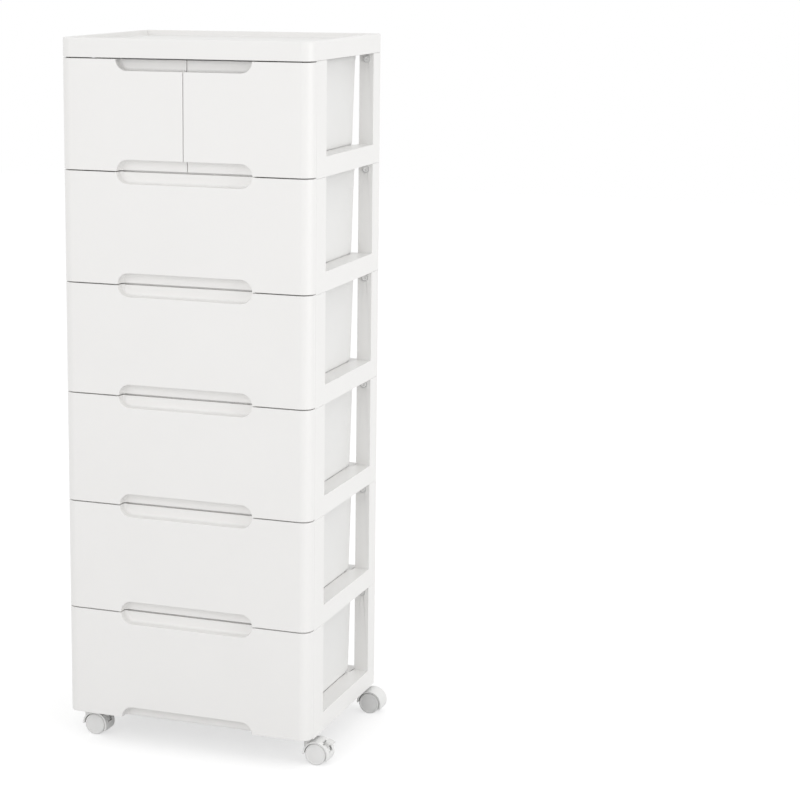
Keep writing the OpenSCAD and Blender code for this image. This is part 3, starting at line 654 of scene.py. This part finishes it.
def tray_profile():
    """Inset, height and corner radii from the tray's floor over the rim, down the outside, up into
    the groove of the hollow rim and to the underside. Quarter circles round the floor's foot, the
    rim's inner edge and its outer edge."""
    a = np.linspace(0, np.pi / 2, 7)
    foot, inner, outer = 3 * mm, 1.2 * mm, 2.6 * mm
    inset = np.concatenate([
        rim_wide + foot * (1 - np.sin(a)), rim_wide - inner * (1 - np.cos(a)),
        outer * (1 - np.sin(a)), [0, 0.6 * mm, 2.1 * mm, cover_wall, cover_wall],
        [cover_wall + 0.6 * mm, rim_wide - cover_wall - 0.6 * mm],
        [rim_wide - cover_wall, rim_wide - cover_wall]])
    height = np.concatenate([
        tray_floor + foot * (1 - np.cos(a)), cover_tall - inner + inner * np.sin(a),
        cover_tall - outer + outer * np.cos(a), [0.6 * mm, 0, 0, 0.4 * mm, 31 * mm],
        [31.5 * mm, 31.5 * mm], [31 * mm, tray_floor - cover_wall]])
    front = np.maximum(cover_corner - inset, 1 * mm)
    rear = np.maximum(rear_corner - inset, 1 * mm)
    return inset, height, front, rear


inset, height, front_r, rear_r = tray_profile()
points = loops(cover_low.x + inset, cover_high.x - inset, cover_low.y + inset,
               cover_high.y - inset, front_r, rear_r, base_z + height, steps=12)
rows, columns = points.shape[:2]
shapes = [(points.reshape(-1, 3), grid_faces(rows, columns, True),
           [np.arange(columns), (rows - 1) * columns + np.arange(columns)])]
rib_top, rib_foot = base_z + tray_floor - cover_wall + 0.5 * mm, base_z + 13.5 * mm
for x in np.linspace(cover_low.x + cover_wall, cover_high.x - cover_wall, 7)[1:-1]:
    shapes.append(block(x - rib_half, x + rib_half, cover_low.y + rib_inside,
                        cover_high.y - rib_inside, rib_foot, rib_top))
for y in np.linspace(cover_low.y + cover_wall, cover_high.y - cover_wall, 6)[1:-1]:
    shapes.append(block(cover_low.x + rib_inside, cover_high.x - rib_inside, y - rib_half,
                        y + rib_half, rib_foot + 0.2 * mm, rib_top))


def tongue(x0, x1, y0, y1, z0, z1, wall):
    """Tube with a closed top, open below: up the inside from the mouth's edge to a cap, and down
    the outside. Levels run from the inner cap round the mouth to the top."""
    soft = 0.5 * mm
    z = np.array([base_z, z0 + soft, z0, z0, z0 + soft, z1])
    draw = np.array([wall, wall, wall - soft, soft, 0, 0])
    points = loops(x0 + draw, x1 - draw, y0 + draw, y1 - draw, 0.8 * mm, 0.8 * mm, z, steps=3)
    count = points.shape[1]
    return (points.reshape(-1, 3), grid_faces(6, count, True),
            [np.arange(count), 5 * count + np.arange(count)])


tongue_foot = base_z - 22 * mm
post_inner = cover_high.x - post_wide + post_gap
for front_y, depth in ((cover_low.y + ledge, front_post), (cover_high.y - rear_post, rear_post)):
    for x0, x1 in ((post_inner, cover_high.x - post_gap), (cover_low.x + post_gap, -post_inner)):
        shapes.append(tongue(x0, x1, front_y + post_gap, front_y + depth - post_gap,
                             tongue_foot, rib_top, cover_wall))
points, quads, caps = joined(shapes)
cover = build("tray_top_moulding", points, quads, frame_plastic, caps)
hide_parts("top_tray")
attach(cover, "root")


# ---------------------------------------------------------------- studio
# A pale floor without an edge, even light from all round, two wide soft lamps, on the right and in
# front, and a smaller one high in front that draws the light along the moulded edges.

def studio_floor(name):
    """Matt floor. Light that falls on it comes back as from pale card. The camera, reflections and
    clear things see the same card with some light of its own, so that it is white where nothing
    shades it and only the shadow shows."""
    material = bpy.data.materials.new(name)
    material.use_nodes = True
    nodes, links = material.node_tree.nodes, material.node_tree.links
    nodes.remove(nodes["Principled BSDF"])
    speck = nodes.new("ShaderNodeTexNoise")
    speck.inputs["Scale"].default_value = 3.0
    card = nodes.new("ShaderNodeValToRGB")
    card.color_ramp.elements[0].color = (0.645, 0.645, 0.645, 1)
    card.color_ramp.elements[1].color = (0.655, 0.655, 0.655, 1)
    pale = nodes.new("ShaderNodeBsdfDiffuse")
    shown = nodes.new("ShaderNodeBsdfDiffuse")
    shown.inputs["Color"].default_value = (0.50, 0.50, 0.50, 1)
    glow = nodes.new("ShaderNodeEmission")
    glow.inputs["Strength"].default_value = 0.60
    both = nodes.new("ShaderNodeAddShader")
    path = nodes.new("ShaderNodeLightPath")
    gloss = nodes.new("ShaderNodeMath")
    gloss.operation = "MAXIMUM"
    clear = nodes.new("ShaderNodeMath")
    clear.operation = "MAXIMUM"
    pick = nodes.new("ShaderNodeMixShader")
    links.new(speck.outputs["Fac"], card.inputs["Fac"])
    links.new(card.outputs["Color"], pale.inputs["Color"])
    links.new(path.outputs["Is Camera Ray"], gloss.inputs[0])
    links.new(path.outputs["Is Glossy Ray"], gloss.inputs[1])
    links.new(gloss.outputs["Value"], clear.inputs[0])
    links.new(path.outputs["Is Transmission Ray"], clear.inputs[1])
    links.new(shown.outputs["BSDF"], both.inputs[0])
    links.new(glow.outputs["Emission"], both.inputs[1])
    links.new(clear.outputs["Value"], pick.inputs["Fac"])
    links.new(pale.outputs["BSDF"], pick.inputs[1])
    links.new(both.outputs["Shader"], pick.inputs[2])
    links.new(pick.outputs["Shader"], nodes["Material Output"].inputs["Surface"])
    return material


reach = 9.0
floor_mesh = bpy.data.meshes.new("studio_floor")
floor_mesh.from_pydata([(-reach, -reach, 0), (reach, -reach, 0), (reach, reach, 0),
                        (-reach, reach, 0)], [], [(0, 1, 2, 3)])
floor_mesh.materials.append(studio_floor("matt_floor"))
studio = bpy.data.objects.new("studio_floor", floor_mesh)
bpy.context.scene.collection.objects.link(studio)

world = bpy.data.worlds.new("even_light")
bpy.context.scene.world = world
world.use_nodes = True
sky, wires = world.node_tree.nodes, world.node_tree.links
even = sky["Background"]
even.inputs["Color"].default_value = (1, 1, 1, 1)
even.inputs["Strength"].default_value = 0.85
white = sky.new("ShaderNodeBackground")
white.inputs["Color"].default_value = (1, 1, 1, 1)
white.inputs["Strength"].default_value = 1.0
ray = sky.new("ShaderNodeLightPath")
seen = sky.new("ShaderNodeMath")
seen.operation = "MAXIMUM"
either = sky.new("ShaderNodeMath")
either.operation = "MAXIMUM"
choose = sky.new("ShaderNodeMixShader")
wires.new(ray.outputs["Is Camera Ray"], seen.inputs[0])
wires.new(ray.outputs["Is Glossy Ray"], seen.inputs[1])
wires.new(seen.outputs["Value"], either.inputs[0])
wires.new(ray.outputs["Is Transmission Ray"], either.inputs[1])
wires.new(either.outputs["Value"], choose.inputs["Fac"])
wires.new(even.outputs["Background"], choose.inputs[1])
wires.new(white.outputs["Background"], choose.inputs[2])
wires.new(choose.outputs["Shader"], sky["World Output"].inputs["Surface"])

tower_middle = Vector((0, 0, 0.65))
for name, power, size, place in (("right", 29, 2.6, (3.2, -0.5, 1.2)),
                                 ("front", 28, 2.8, (-0.6, -4.2, 1.6)),
                                 ("high", 8, 0.7, (-1.6, -3.9, 3.0))):
    lamp = bpy.data.lights.new(f"{name}_softbox", "AREA")
    lamp.energy = power
    lamp.size = size
    softbox = bpy.data.objects.new(f"{name}_softbox", lamp)
    softbox.location = place
    away = Vector(place) - tower_middle
    softbox.rotation_euler = away.to_track_quat("Z", "Y").to_euler()
    bpy.context.scene.collection.objects.link(softbox)

lens = bpy.data.cameras.new("photo_view")
lens.sensor_width = 36.0
lens.lens = 101.60
lens.shift_x = 0.19
lens.shift_y = -0.0525
camera = bpy.data.objects.new("photo_view", lens)
camera.location = (1.5477, -3.7609, 1.4466)
aim = Vector((0.1206, -0.1834, 0.7378))
camera.rotation_euler = (camera.location - aim).to_track_quat("Z", "Y").to_euler()
bpy.context.scene.collection.objects.link(camera)
bpy.context.scene.camera = camera
bpy.context.scene.view_settings.view_transform = "Standard"
